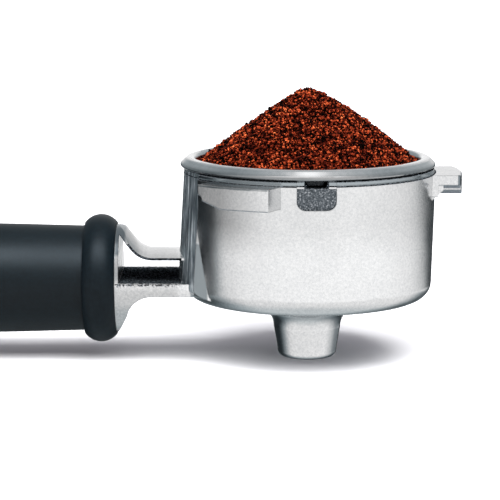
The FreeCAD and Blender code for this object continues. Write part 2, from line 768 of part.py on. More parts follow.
# The pry pocket on the front, and the notch through the wall above it.
pry = new_sketch(holder, "pry_pocket", "XZ_Plane", "pry_floor")
half = size("pry_width") * 0.5
outline(
    pry,
    [
        (size("pry_offset") - half, PAST),
        (size("pry_offset") - half, -size("pry_depth") + "pry_corner"),
        (size("pry_offset") - half + "pry_corner", -size("pry_depth"), "pry_corner", 1),
        (size("pry_offset") + half - "pry_corner", -size("pry_depth")),
        (size("pry_offset") + half, -size("pry_depth") + "pry_corner", "pry_corner", 1),
        (size("pry_offset") + half, PAST),
    ],
)
pocket(holder, pry, size("lug_radius") - "pry_floor", reverse=True)
notch_plane = size("cup_bore") - "notch_width"
notch = new_sketch(holder, "notch", "XZ_Plane", notch_plane)
half = size("notch_width") * 0.5
outline(
    notch,
    [
        (size("pry_offset") - half, PAST),
        (size("pry_offset") - half, 0),
        (size("pry_offset") - half + "notch_slope", -size("notch_depth")),
        (size("pry_offset") + half - "notch_slope", -size("notch_depth")),
        (size("pry_offset") + half, 0),
        (size("pry_offset") + half, PAST),
    ],
)
pocket(holder, notch, size("lug_radius") - notch_plane, reverse=True)

# ---------------------------------------------------------------- basket, coffee and spring

basket_floor = -size("basket_depth")
taper_top = basket_floor + "basket_taper"
basket_wall = size("basket_outer") - "basket_radius"
basket = turned(
    "filter_basket",
    [
        (0, basket_floor + "basket_sheet"),
        (0, basket_floor),
        ("basket_base_radius", basket_floor),
        ("basket_outer", taper_top),
        ("basket_outer", 0),
        ("rim_foot", 0),
        ("rim_radius", "rim_edge", "rim_under_round", 1),
        (size("rim_radius") - "rim_edge_inset", size("rim_edge") + "rim_edge_rise", "rim_edge_round", 1),
        ("rim_flank", size("rim_height") - "rim_flank_drop"),
        ("rim_crown", "rim_height", "rim_crown_round", 1),
        ("rim_inner", "rim_height"),
        ("rim_mouth", "mouth_top", "rim_inner_round", 1),
        ("basket_radius", "mouth_base", "mouth_round", -1),
        ("basket_radius", taper_top),
        (size("basket_base_radius") - basket_wall, basket_floor + "basket_sheet"),
    ],
)
for ring in range(5):
    hole = new_sketch(basket, "hole_ring_%d" % ring, "XY_Plane", basket_floor - PAST)
    circle(hole, size("hole_pitch") * ring, 0, "hole_radius")
    cut = pocket(basket, hole, size("basket_sheet") + 2 * PAST, reverse=True)
    if ring > 0:
        polar_pattern(basket, [cut], 6 * ring)

coffee_radius = size("basket_radius") - "coffee_gap"
coffee_floor = basket_floor + "basket_sheet" + "coffee_gap"
# The heap's top is a spherical cap, centred on the axis.
rise = size("heap_height") - "heap_shoulder_z"
heap_top = Size(
    (sheet.heap_shoulder**2 + rise.value**2) / (2 * rise.value),
    "((Sizes.heap_shoulder ^ 2 + %s ^ 2) / (2 * %s))" % (rise.text, rise.text),
)
turned(
    "coffee_grounds",
    [
        (0, "heap_height", heap_top, 1),
        (0, coffee_floor),
        (size("basket_base_radius") - basket_wall - size("coffee_gap") * 2, coffee_floor),
        (coffee_radius, taper_top + "coffee_gap"),
        (coffee_radius, "heap_edge"),
        ("heap_shoulder", "heap_shoulder_z"),
    ],
)

# The spring is round wire in the groove: an open ring with three straight bends that reach the basket.
BEND_CENTRES = (48, 168, 288)


def wire_piece(kind, name, x=None, y=None):
    """A primitive in the spring's plane, with the wire's thickness."""
    piece = doc.addObject("Part::" + kind, name)
    bind(piece, "Placement.Base.z", -size("spring_depth"))
    if x is not None:
        bind(piece, "Placement.Base.x", x)
        bind(piece, "Placement.Base.y", y)
    bind(piece, "Radius2" if kind == "Torus" else "Radius", "wire_radius")
    return piece


stops = [size(0)]
for centre in BEND_CENTRES:
    stops.append(size(centre) - "bend_half_angle")
    stops.append(size(centre) + "bend_half_angle")
stops.append(size(360) - size("gap_half_angle") * 2)
wires = []
for i, (start, end) in enumerate(zip(stops, stops[1:])):
    if i % 2 == 0:
        arc = wire_piece("Torus", "wire_arc_%d" % i)
        arc.Placement.Rotation = FreeCAD.Rotation(Vector(0, 0, 1), start.value)
        bind(arc, "Radius1", "spring_radius")
        bind(arc, "Angle3", end - start)
        wires.append(arc)
    else:
        straight = wire_piece("Cylinder", "wire_bend_%d" % i, *polar("spring_radius", start))
        upright = FreeCAD.Rotation(Vector(1, 0, 0), -90)
        straight.Placement.Rotation = FreeCAD.Rotation(Vector(0, 0, 1), BEND_CENTRES[i // 2]) * upright
        straight.setExpression("Height", "2 * Sizes.spring_radius * sin(Sizes.bend_half_angle)")
        wires.append(straight)
        for knee, stop in enumerate((start, end)):
            wires.append(wire_piece("Sphere", "wire_knee_%d_%d" % (i, knee), *polar("spring_radius", stop)))
spring = doc.addObject("Part::MultiFuse", "basket_retaining_spring")
spring.Label = "basket_retaining_spring"
spring.Shapes = wires
doc.recompute()

# ---------------------------------------------------------------- spout insert

insert_bottom = spout_bottom + "insert_recess"
insert = turned(
    "spout_insert",
    [
        ("insert_bore", insert_bottom),
        ("insert_radius", insert_bottom),
        ("insert_radius", insert_bottom + "insert_length" - "insert_chamfer"),
        (size("insert_radius") - "insert_chamfer", insert_bottom + "insert_length"),
        ("insert_bore", insert_bottom + "insert_length"),
    ],
)
web = new_sketch(insert, "insert_web", "XY_Plane", insert_bottom)
half_web = size("insert_web") * 0.5
web_reach = (size("insert_bore") + "insert_radius") * 0.5
outline(
    web,
    [
        (-half_web, -web_reach),
        (half_web, -web_reach),
        (half_web, web_reach),
        (-half_web, web_reach),
    ],
)
pad(insert, web, "insert_web_height")

# ---------------------------------------------------------------- handle
# These outlines hold X along the handle and the radius from its axis.

plate_back = -size("plate_x") - "plate_thickness"
lip_near = plate_back - "handle_gap"
lip_far = lip_near - "collar_lip_width"
collar_near = -size("collar_x")
bulge = size("collar_radius") - "collar_shoulder"
collar_crown = Size(
    (sheet.collar_width**2 / 4 + bulge.value**2) / (2 * bulge.value),
    "((Sizes.collar_width ^ 2 / 4 + %s ^ 2) / (2 * %s))" % (bulge.text, bulge.text),
)
collar_far = collar_near - "collar_width"
turned(
    "collar_ring",
    [
        (collar_far, "collar_bore"),
        (lip_far, "collar_bore"),
        (lip_far, "collar_lip"),
        (lip_near, "collar_lip"),
        (lip_near, "collar_bore"),
        (collar_near, "collar_bore"),
        (collar_near, "collar_shoulder"),
        (collar_far, "collar_shoulder", collar_crown, 1),
    ],
    "H_Axis",
)

core_near = lip_far - "handle_gap"
grip_near = collar_far - "handle_gap"
grip_far = -size("grip_end_x")
belly = -size("grip_belly_x")
inset = size("grip_skin") + "handle_gap"
core = turned(
    "handle_core",
    [
        (grip_far, size("grip_end") - inset, size("grip_tail_curve") - inset, 1),
        (grip_far, "bolt_well"),
        (-size("bolt_seat"), "bolt_well"),
        (-size("bolt_seat"), "bolt_clearance"),
        (core_near, "bolt_clearance"),
        (core_near, "core_front"),
        (grip_near + "handle_gap", "core_front"),
        (grip_near + "handle_gap", size("grip_start") - inset),
        (belly, size("grip_belly") - inset, size("grip_curve") - inset, 1),
    ],
    "H_Axis",
)
socket = new_sketch(core, "tang_socket", "YZ_Plane", core_near)
socket_radius = size("tang_radius") + "handle_gap"
socket_flat = size("tang_flat") + "handle_gap"
socket_side = on_circle(socket_radius, socket_flat)
outline(
    socket,
    [
        (-socket_side, -socket_flat, socket_radius, 1),
        (socket_side, -socket_flat),
        (socket_side, socket_flat, socket_radius, 1),
        (-socket_side, socket_flat),
    ],
)
pocket(core, socket, size("core_tang_end") + core_near)

turned(
    "grip_sleeve",
    [
        (grip_far, "grip_end", "grip_tail_curve", 1),
        (grip_far, size("grip_end") - "grip_skin"),
        (belly, size("grip_belly") - "grip_skin", size("grip_tail_curve") - "grip_skin", -1),
        (grip_near, size("grip_start") - "grip_skin", size("grip_curve") - "grip_skin", -1),
        (grip_near, "grip_start"),
        (belly, "grip_belly", "grip_curve", 1),
    ],
    "H_Axis",
)

washer_far = -size("bolt_seat") - "washer_thickness"
lock_far = washer_far - "lock_thickness"
turned(
    "flat_washer",
    [
        (washer_far, "washer_bore"),
        (-size("bolt_seat"), "washer_bore"),
        (-size("bolt_seat"), "washer_radius"),
        (washer_far, "washer_radius"),
    ],
    "H_Axis",
)
turned(
    "lock_washer",
    [
        (lock_far, "lock_bore"),
        (washer_far, "lock_bore"),
        (washer_far, "lock_radius"),
        (lock_far, "lock_radius"),
    ],
    "H_Axis",
)
head_far = lock_far - "bolt_head_height"
bolt = turned(
    "handle_bolt",
    [
        (head_far, 0),
        (-size("bolt_tip"), 0),
        (-size("bolt_tip"), size("bolt_radius") - "bolt_chamfer"),
        (-size("bolt_tip") - "bolt_chamfer", "bolt_radius"),
        (lock_far, "bolt_radius"),
        (lock_far, "bolt_head_radius"),
        (head_far + "bolt_chamfer", "bolt_head_radius"),
        (head_far, size("bolt_head_radius") - "bolt_chamfer"),
    ],
    "H_Axis",
)
hexagon = new_sketch(bolt, "hexagon", "YZ_Plane", head_far)
outline(hexagon, [polar("bolt_socket", 60 * corner) for corner in range(6)])
pocket(bolt, hexagon, "bolt_socket_depth", reverse=True)

cap_near = grip_far - "handle_gap"
cap_far = cap_near - "cap_length"
disc_seat = cap_far + "disc_thickness" + "handle_gap"
turned(
    "end_cap",
    [
        (disc_seat, 0),
        (disc_seat + "cap_web", 0),
        (disc_seat + "cap_web", "cap_hollow"),
        (cap_near + "cap_spigot", "cap_hollow"),
        (cap_near + "cap_spigot", "cap_spigot_radius"),
        (cap_near, "cap_spigot_radius"),
        (cap_near, "grip_end"),
        (cap_far + "cap_round", "cap_side_radius"),
        (cap_far, "cap_face_radius", "cap_round", 1),
        (cap_far, size("disc_radius") + "handle_gap"),
        (disc_seat, size("disc_radius") + "handle_gap"),
    ],
    "H_Axis",
)
turned(
    "cap_disc",
    [
        (cap_far, 0),
        (disc_seat, 0),
        (disc_seat, "disc_radius"),
        (cap_far + "disc_chamfer", "disc_radius"),
        (cap_far, size("disc_radius") - "disc_chamfer"),
    ],
    "H_Axis",
)

# ---------------------------------------------------------------- check and export

doc.recompute()
for obj in doc.Objects:
    if "Invalid" in obj.State or "Error" in obj.State:
        raise RuntimeError("%s: %s" % (obj.Name, obj.State))

NODES = [
    "filter_holder",
    "filter_basket",
    "coffee_grounds",
    "basket_retaining_spring",
    "spout_insert",
    "collar_ring",
    "handle_core",
    "grip_sleeve",
    "handle_bolt",
    "flat_washer",
    "lock_washer",
    "end_cap",
    "cap_disc",
]
os.makedirs("parts", exist_ok=True)
for name in NODES:
    shape = doc.getObject(name).Shape
    if shape.isNull() or not shape.isValid() or len(shape.Solids) != 1:
        raise RuntimeError("%s is not one sound solid" % name)
    shape.exportStep("parts/%s.step" % name)
    box = shape.BoundBox
    print("%-24s %9.1f mm3  x %7.2f %7.2f  y %7.2f %7.2f  z %7.2f %7.2f" % (
        name, shape.Volume, box.XMin, box.XMax, box.YMin, box.YMax, box.ZMin, box.ZMax))
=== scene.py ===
"""An espresso portafilter with a heaped basket, standing on a white sweep."""

import math
from types import SimpleNamespace

import bpy
import numpy as np
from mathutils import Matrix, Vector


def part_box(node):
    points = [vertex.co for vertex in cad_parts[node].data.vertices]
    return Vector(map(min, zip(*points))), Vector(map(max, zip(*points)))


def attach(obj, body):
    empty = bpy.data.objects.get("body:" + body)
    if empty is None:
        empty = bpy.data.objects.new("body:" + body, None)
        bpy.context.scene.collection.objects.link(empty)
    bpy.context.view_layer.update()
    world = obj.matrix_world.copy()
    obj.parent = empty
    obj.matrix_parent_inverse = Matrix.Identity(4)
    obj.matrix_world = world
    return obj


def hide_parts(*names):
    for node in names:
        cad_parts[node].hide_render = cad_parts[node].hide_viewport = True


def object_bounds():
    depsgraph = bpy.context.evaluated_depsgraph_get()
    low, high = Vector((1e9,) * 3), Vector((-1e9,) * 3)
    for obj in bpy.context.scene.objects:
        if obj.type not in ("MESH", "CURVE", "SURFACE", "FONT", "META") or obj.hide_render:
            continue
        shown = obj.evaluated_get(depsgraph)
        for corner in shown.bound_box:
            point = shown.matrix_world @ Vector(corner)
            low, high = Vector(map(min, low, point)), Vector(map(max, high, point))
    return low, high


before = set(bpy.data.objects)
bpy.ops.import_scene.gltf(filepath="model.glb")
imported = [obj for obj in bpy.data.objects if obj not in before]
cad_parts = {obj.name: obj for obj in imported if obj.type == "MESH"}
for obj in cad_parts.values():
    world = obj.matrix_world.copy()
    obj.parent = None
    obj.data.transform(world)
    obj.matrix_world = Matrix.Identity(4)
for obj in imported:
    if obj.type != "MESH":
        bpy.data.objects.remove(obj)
cad_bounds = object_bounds()
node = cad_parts
MM = 0.001

# ---------------------------------------------------------------- shader helpers


def new_material(name):
    """A material with one Principled shader: the material, its tree and the shader."""
    mat = bpy.data.materials.new(name)
    mat.use_nodes = True
    tree = mat.node_tree
    tree.nodes.clear()
    out = tree.nodes.new("ShaderNodeOutputMaterial")
    shader = tree.nodes.new("ShaderNodeBsdfPrincipled")
    tree.links.new(shader.outputs[0], out.inputs["Surface"])
    return mat, tree, shader


def feed(tree, value, socket):
    """Sets a socket to a number or a colour, or links another socket to it."""
    if isinstance(value, bpy.types.NodeSocket):
        tree.links.new(value, socket)
    else:
        socket.default_value = value


def coords(tree):
    """The point in the object's own frame, in metres."""
    return tree.nodes.new("ShaderNodeTexCoord").outputs["Object"]


def noise(tree, vector, scale, detail, rough):
    """Noise around 0.5, with about this many lumps to the metre."""
    texture = tree.nodes.new("ShaderNodeTexNoise")
    texture.inputs["Scale"].default_value = scale
    texture.inputs["Detail"].default_value = detail
    texture.inputs["Roughness"].default_value = rough
    tree.links.new(vector, texture.inputs["Vector"])
    return texture.outputs["Fac"]


def ramp(tree, fac, stops):
    """A colour ramp; each stop is (position, grey) or (position, (red, green, blue))."""
    band = tree.nodes.new("ShaderNodeValToRGB")
    elements = band.color_ramp.elements
    elements[0].position = stops[0][0]
    elements[-1].position = stops[-1][0]
    for position, _ in stops[1:-1]:
        elements.new(position)
    for element, (_, colour) in zip(elements, stops):
        element.color = (*colour, 1) if isinstance(colour, tuple) else (colour, colour, colour, 1)
    tree.links.new(fac, band.inputs[0])
    return band.outputs[0]


def remap(tree, value, low, high, to_low=0.0, to_high=1.0):
    """Maps low..high to to_low..to_high, clamped. High may be the smaller one."""
    box = tree.nodes.new("ShaderNodeMapRange")
    box.inputs["From Min"].default_value = low
    box.inputs["From Max"].default_value = high
    box.inputs["To Min"].default_value = to_low
    box.inputs["To Max"].default_value = to_high
    tree.links.new(value, box.inputs["Value"])
    return box.outputs[0]


def compute(tree, operation, *values):
    """One step of arithmetic on numbers or sockets."""
    box = tree.nodes.new("ShaderNodeMath")
    box.operation = operation
    for value, socket in zip(values, box.inputs):
        feed(tree, value, socket)
    return box.outputs[0]


def distance(tree, x, y):
    """How far the point (x, y) is from the origin."""
    return compute(tree, "SQRT", compute(tree, "MULTIPLY_ADD", x, x, compute(tree, "MULTIPLY", y, y)))


def mix(tree, fac, a, b, blend="MIX"):
    """Colour a where fac is 0 and colour b where it is 1."""
    box = tree.nodes.new("ShaderNodeMix")
    box.data_type = "RGBA"
    box.blend_type = blend
    feed(tree, fac, box.inputs["Factor"])
    feed(tree, a, box.inputs["A"])
    feed(tree, b, box.inputs["B"])
    return box.outputs["Result"]


def bump(tree, height, strength, depth, normal=None):
    """A normal that is roughened by the height over this depth."""
    box = tree.nodes.new("ShaderNodeBump")
    box.inputs["Strength"].default_value = strength
    box.inputs["Distance"].default_value = depth
    tree.links.new(height, box.inputs["Height"])
    if normal is not None:
        tree.links.new(normal, box.inputs["Normal"])
    return box.outputs[0]


def soft_edge(tree, radius):
    """A normal that rounds sharp edges off over this radius."""
    box = tree.nodes.new("ShaderNodeBevel")
    box.samples = 6
    box.inputs["Radius"].default_value = radius
    return box.outputs[0]


def split(tree, vector):
    """The three parts of a vector."""
    box = tree.nodes.new("ShaderNodeSeparateXYZ")
    tree.links.new(vector, box.inputs[0])
    return box.outputs


def put_material(obj, mat):
    """Gives an object this material alone."""
    obj.data.materials.clear()
    obj.data.materials.append(mat)


# ---------------------------------------------------------------- masks, 0 where off and 1 where on

CRISP = 0.05  # the softness in millimetres of a mask's sharp boundary


def every(tree, *factors):
    """On where all of them are on."""
    product = factors[0]
    for factor in factors[1:]:
        product = compute(tree, "MULTIPLY", product, factor)
    return product


def either(tree, *factors):
    """On where at least one of them is on."""
    highest = factors[0]
    for factor in factors[1:]:
        highest = compute(tree, "MAXIMUM", highest, factor)
    return highest


def above(tree, value, edge, soft=CRISP):
    """On above the edge, and changing over soft on either side of it."""
    return remap(tree, value, edge - soft, edge + soft)


def below(tree, value, edge, soft=CRISP):
    """On below the edge, and changing over soft on either side of it."""
    return remap(tree, value, edge + soft, edge - soft)


def within(tree, value, low, high, soft=CRISP):
    """On between low and high."""
    return every(tree, above(tree, value, low, soft), below(tree, value, high, soft))


def near(tree, value, centre, reach, soft=CRISP):
    """On up to reach from the centre."""
    return within(tree, value, centre - reach, centre + reach, soft)


# ---------------------------------------------------------------- places on the casting

# All in millimetres. Heights are depths under the seat plane, z = 0, on which the basket's rim rests. Places
# along the handle are distances from the cup's axis.
CUP_RADIUS, CUP_INSIDE, WALL_INSIDE = 31.4, 28.45, 26.0
CUP_FLOOR, CUP_BASE = 30.75, 32.3
LAND_TOP, SEAT_FOOT, LAND_FOOT, STEP_FOOT = 0.1, 0.2, 0.95, 1.3
SHADE_FOOT, SHADE_TOP = 18.5, 11.0  # the depths between which the painted shade comes in
SHADE_STRONG, SHADE_FAINT = 21.0, 11.0  # the places between which it fades away from the handle
PRY_X, PRY_HALF, PRY_FLOOR, PRY_DEPTH = 1.3, 4.8, 29.95, 6.8
NOTCH_HALF, NOTCH_DEPTH = 2.9, 1.7
NECK_END, NECK_TOP, NECK_ROOT = 60.0, 6.0, 30.8
# the places between which the painted shade over the neck fades out towards the cup
NECK_DARK, NECK_LIGHT = 32.5, 31.0
ARM_UNDER = 22.05
BAR_TOP, BAR_HALF, BAR_ROUND, FRINGE_DROP = 27.2, 13.3, 1.3, 1.6
PLATE_FRONT, PLATE_BACK, PLATE_RADIUS = 45.6, 47.0, 15.4
CREST_FRONT, CREST_TOP, CREST_FOOT = 44.6, 13.0, 20.5
HANDLE_SIDE, PATCH_REACH, PATCH_EDGE = 24.4, 33.2, 15.6
CHEEK_EDGE, CHEEK_TOP = 28.6, 16.7
LUG_TIP, LUG_ROOT, LUG_DEPTH = 37.3, 31.7, 9.25
RIGHT_LUG_X, RIGHT_LUG_FRONT = 30.5, 8.75
SPOUT_ROOT, SPOUT_REACH = 35.75, 10.0

GRIP_LOW, GRIP_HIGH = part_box("grip_sleeve")
HANDLE_AXIS = -(GRIP_LOW[2] + GRIP_HIGH[2]) / 2 / MM


def casting_point(tree):
    """Where the shaded point is, in millimetres, and its normal: along (X), across (Y) and up (Z)."""
    scaled = tree.nodes.new("ShaderNodeVectorMath")
    scaled.operation = "SCALE"
    scaled.inputs["Scale"].default_value = 1 / MM
    tree.links.new(coords(tree), scaled.inputs[0])
    at = SimpleNamespace()
    at.x, at.y, at.z = split(tree, scaled.outputs[0])
    at.along, at.across, at.up = split(tree, tree.nodes.new("ShaderNodeNewGeometry").outputs["Normal"])
    at.from_cup_axis = distance(tree, at.x, at.y)
    at.from_handle_axis = distance(tree, at.y, compute(tree, "ADD", at.z, HANDLE_AXIS))
    at.ragged = remap(tree, noise(tree, coords(tree), 900, 2, 0.5), 0.3, 0.7, -0.5, 0.5)
    return at


def pry_pocket(tree, at):
    """The floor of the pocket under the notch."""
    return every(
        tree,
        near(tree, at.x, PRY_X, PRY_HALF),
        near(tree, at.y, -PRY_FLOOR, 0.2),
        within(tree, at.z, -PRY_DEPTH, -NOTCH_DEPTH),
    )


def notch(tree, at):
    """The notch in the cup's edge, over the pocket."""
    return every(
        tree,
        near(tree, at.x, PRY_X, NOTCH_HALF, 0.02),
        within(tree, at.y, -CUP_RADIUS, 0, 0.02),
        within(tree, at.z, -NOTCH_DEPTH, 1, 0.02),
    )


def on_wall(tree, at):
    """The cup's wall."""
    return within(tree, at.from_cup_axis, WALL_INSIDE, CUP_RADIUS + 0.1)


def seat(tree, at):
    """The seat, close under the basket's rim, and the step from the land out to the wall."""
    step = within(tree, at.z, -STEP_FOOT, -LAND_FOOT, 0.03)
    return every(tree, on_wall(tree, at), either(tree, above(tree, at.z, -SEAT_FOOT, 0.1), step))


def land(tree, at):
    """The narrow land around the wall, between the seat and the step."""
    return every(tree, on_wall(tree, at), within(tree, at.z, -LAND_FOOT, -LAND_TOP, 0.03))


def cup_inside(tree, at):
    """The inside of the cup."""
    return every(
        tree,
        below(tree, at.from_cup_axis, CUP_INSIDE, 0.15),
        above(tree, at.z, -CUP_FLOOR, 0.25),
    )


def cup_base(tree, at):
    """The faces of the cup's base and of the spout's foot that look down."""
    return every(tree, below(tree, at.z, -CUP_BASE, 0.1), below(tree, at.up, -0.9))


def by_the_handle(tree, at):
    """The side of the cup from which the neck grows."""
    return every(
        tree,
        below(tree, at.x, -HANDLE_SIDE, 0.2),
        below(tree, at.from_cup_axis, PATCH_REACH, 0.2),
    )


def wall_patch(tree, at):
    """The patch of the wall on that side, behind the neck."""
    return every(
        tree,
        by_the_handle(tree, at),
        below(tree, at.along, -0.76, 0.04),
        above(tree, at.y, -PATCH_EDGE, 0.1),
    )


def cheek(tree, at):
    """The lower part, up to a ragged line, of the cheek that slopes from the patch into the round wall."""
    return every(
        tree,
        by_the_handle(tree, at),
        above(tree, at.along, -0.76, 0.04),
        below(tree, at.across, -0.685, 0.025),
        above(tree, at.x, -CHEEK_EDGE, 0.2),
        below(tree, compute(tree, "ADD", at.z, at.ragged), -CHEEK_TOP, 0.5),
    )


def on_neck(tree, at):
    """The neck, from the cup's side out past the bell plate."""
    return within(tree, at.x, -NECK_END, -NECK_ROOT)


def blade_edge(tree, at):
    """The upper arm's underside, and its edge on the camera's side."""
    return every(
        tree,
        on_neck(tree, at),
        within(tree, at.z, -ARM_UNDER - 0.2, -NECK_TOP),
        either(tree, below(tree, at.up, -0.3, 0.1), below(tree, at.across, -0.935, 0.035)),
    )


def bar_top(tree, at):
    """The lower arm's top face, up to a ragged line inside its rounded edges."""
    return every(
        tree,
        on_neck(tree, at),
        above(tree, at.up, 0.65, 0.15),
        near(tree, at.z, -BAR_TOP, 0.3),
        near(tree, compute(tree, "ADD", at.y, at.ragged), 0, BAR_HALF - BAR_ROUND, 0.3),
    )


def fringe(tree, at):
    """Specks of the top face's painted shade over the lower arm's edge, thinning out downwards."""
    rise = compute(tree, "ADD", at.z, BAR_TOP)
    speckle = noise(tree, coords(tree), 2200, 2, 0.6)
    return every(
        tree,
        on_neck(tree, at),
        above(tree, rise, -0.85, 0.65),
        within(tree, rise, -FRINGE_DROP, 0.1),
        above(tree, compute(tree, "MULTIPLY_ADD", rise, 0.16, speckle), 0.48, 0.04),
    )


def crest(tree, at):
    """The band of the bell plate's front into which the upper arm runs."""
    return every(
        tree,
        within(tree, at.x, -PLATE_BACK, -CREST_FRONT, 0.3),
        within(tree, at.z, -CREST_FOOT, -CREST_TOP, 0.4),
    )


def plate_rim(tree, at):
    """The outer edge of the bell plate."""
    return every(
        tree,
        within(tree, at.x, -PLATE_BACK - 0.1, -PLATE_FRONT, 0.1),
        above(tree, at.from_handle_axis, PLATE_RADIUS, 0.2),
    )


def lug_end(tree, at):
    """The front part of the right lug's end face."""
    return every(
        tree,
        above(tree, at.x, RIGHT_LUG_X, 0.5),
        above(tree, at.from_cup_axis, LUG_TIP, 0.1),
        below(tree, at.y, -RIGHT_LUG_FRONT, 0.15),
    )


def lug_foot(tree, at):
    """The undersides of the lugs."""
    return every(
        tree,
        above(tree, at.from_cup_axis, LUG_ROOT, 0.1),
        below(tree, at.up, -0.325, 0.075),
        above(tree, at.z, -LUG_DEPTH, 0.25),
    )


def spout_side(tree, at):
    """The spout, more strongly towards its outline."""
    facing = tree.nodes.new("ShaderNodeLayerWeight")
    facing.inputs["Blend"].default_value = 0.5
    return every(
        tree,
        below(tree, at.z, -SPOUT_ROOT, 0.75),
        below(tree, at.from_cup_axis, SPOUT_REACH, 0.5),
        remap(tree, facing.outputs["Facing"], 0.24, 0.52, 0.0, 0.85),
    )


def any_of(tree, at, *places):
    """On at each of these places of the casting."""
    return either(tree, *[place(tree, at) for place in places])


# ---------------------------------------------------------------- materials

# Painted shade, half grey.
HALF_GREY_SHADE = (0.36, 0.40, 0.42, 1)
# Painted shade, slate grey.
SLATE_SHADE_GREY = (0.20, 0.23, 0.25, 1)
# Painted shade, dark grey, for faces that look down.
UNDERSIDE_SHADE_GREY = (0.10, 0.115, 0.125, 1)
SHADOW_BLACK = (0.012, 0.014, 0.016, 1)
SKIN_ROUGHNESS = (0.42, 0.42, 0.42, 1)
# Painted shade, dark with light upright streaks.
STREAKED_SHADE = [(0.40, (0.06, 0.075, 0.083)), (0.58, (0.19, 0.225, 0.24)), (0.74, (0.6, 0.65, 0.67))]
PITTED_SKIN = [(0, (0.06, 0.07, 0.08)), (0.6, (0.16, 0.18, 0.20)), (1, (0.55, 0.57, 0.6))]
# Painted shade and shadow: near black with grey specks.
BLACK_SHADE_SPECKLED = [(0, (0.001, 0.0015, 0.002)), (0.5, (0.012, 0.015, 0.017)), (1, (0.11, 0.13, 0.145))]
BRIGHT_CASTING = [(0, (0.70, 0.71, 0.72)), (1, (0.90, 0.90, 0.90))]
POLISHED = [(0.3, (0.74, 0.75, 0.76)), (0.7, (0.84, 0.84, 0.85))]


def bright_metal(tree, at, grain):
    """The casting's plain colour, with painted shade high up and towards the handle, and over the whole
    neck.
    """
    bright = ramp(tree, remap(tree, grain, 0.3, 0.7), BRIGHT_CASTING)
    # Painted shade: darker high up on the handle's side of the cup, and over the whole neck.
    high_up = remap(tree, at.z, -SHADE_FOOT, -SHADE_TOP)
    painted_shade = every(tree, high_up, remap(tree, at.x, -SHADE_STRONG, -SHADE_FAINT, 0.55, 0.13))
    neck_shade = remap(tree, at.x, -NECK_DARK, -NECK_LIGHT, 0.80, 1.0)
    shade = every(tree, compute(tree, "SUBTRACT", 1.0, painted_shade), neck_shade)
    return mix(tree, 1.0, bright, shade, "MULTIPLY")


def streaked_shade(tree):
    """Painted shade: dark, with light upright streaks."""
    stretch = tree.nodes.new("ShaderNodeMapping")
    stretch.inputs["Scale"].default_value = (1.0, 1.0, 0.12)
    tree.links.new(coords(tree), stretch.inputs["Vector"])
    return ramp(tree, noise(tree, stretch.outputs[0], 900, 3, 0.6), STREAKED_SHADE)


def cast_metal():
    """Bright die-cast metal, satin outside; dark and rough where the mould's skin was left in the pry
    pocket. Painted shade and shadow, in greys and near black, lie over many other faces; the near black ones
    are rough as well.
    """
    mat, t, p = new_material("cast_metal")
    at = casting_point(t)
    grain = noise(t, coords(t), 1700, 3, 0.7)
    cloud = noise(t, coords(t), 160, 3, 0.6)
    pits = noise(t, coords(t), 2600, 2, 0.5)
    pocket = pry_pocket(t, at)
    patch = wall_patch(t, at)
    # Painted shade in half grey: the land under the basket's rim, and the cheek's lower part.
    half_grey_shade = any_of(t, at, land, cheek)
    # Painted shade in slate grey: the crest, the bell plate's rim, the inside of the cup, the right lug's
    # end, and the spout towards its outline.
    slate_shade = any_of(t, at, crest, plate_rim, cup_inside, lug_end, spout_side)
    # Painted shade in dark grey: the lugs' undersides, and the faces that look down under the cup and the
    # spout.
    underside_shade = any_of(t, at, lug_foot, cup_base)
    # Painted shade and shadow, near black: the lower arm's top and its fringe, the upper arm's underside and
    # near edge, the notch, the seat under the rim and the step below the land.
    dark = any_of(t, at, bar_top, fringe, blade_edge, notch, seat)

    colour = bright_metal(t, at, grain)
    colour = mix(t, pocket, colour, ramp(t, remap(t, pits, 0.35, 0.7), PITTED_SKIN))
    # Painted shade, half grey, on the land and the cheek.
    colour = mix(t, half_grey_shade, colour, HALF_GREY_SHADE)
    # Painted shade, slate grey.
    colour = mix(t, slate_shade, colour, SLATE_SHADE_GREY)
    # Painted shade, dark and streaked, on the wall's patch behind the neck.
    colour = mix(t, patch, colour, streaked_shade(t))
    # Painted shade, dark grey, on the undersides.
    colour = mix(t, underside_shade, colour, UNDERSIDE_SHADE_GREY)
    # Painted shade and shadow, near black with grey specks.
    colour = mix(t, dark, colour, ramp(t, remap(t, pits, 0.38, 0.66), BLACK_SHADE_SPECKLED))
    feed(t, colour, p.inputs["Base Color"])

    # The painted shade is made less metallic, so that it mirrors nothing and stays dark.
    unmetallic_shade = either(t, dark, compute(t, "MULTIPLY", patch, 0.45), underside_shade)
    feed(t, compute(t, "SUBTRACT", 1.0, unmetallic_shade), p.inputs["Metallic"])
    p.inputs["IOR"].default_value = 1.0
    satin = remap(t, cloud, 0.3, 0.7, 0.20, 0.26)
    feed(t, mix(t, either(t, pocket, dark), satin, SKIN_ROUGHNESS), p.inputs["Roughness"])
    feed(t, bump(t, grain, 0.3, 0.03 * MM, soft_edge(t, 0.35 * MM)), p.inputs["Normal"])
    return mat


def polished_steel_parts(name, rough):
    """Pressed or turned steel with faint polishing marks: the material, its tree and the shader."""
    mat, t, p = new_material(name)
    fine = noise(t, coords(t), 700, 3, 0.6)
    p.inputs["Metallic"].default_value = 1.0
    feed(t, ramp(t, fine, POLISHED), p.inputs["Base Color"])
    feed(t, remap(t, fine, 0.3, 0.7, rough - 0.03, rough + 0.03), p.inputs["Roughness"])
    return mat, t, p


def polished_steel(name, rough):
    """The same, as a material alone."""
    return polished_steel_parts(name, rough)[0]


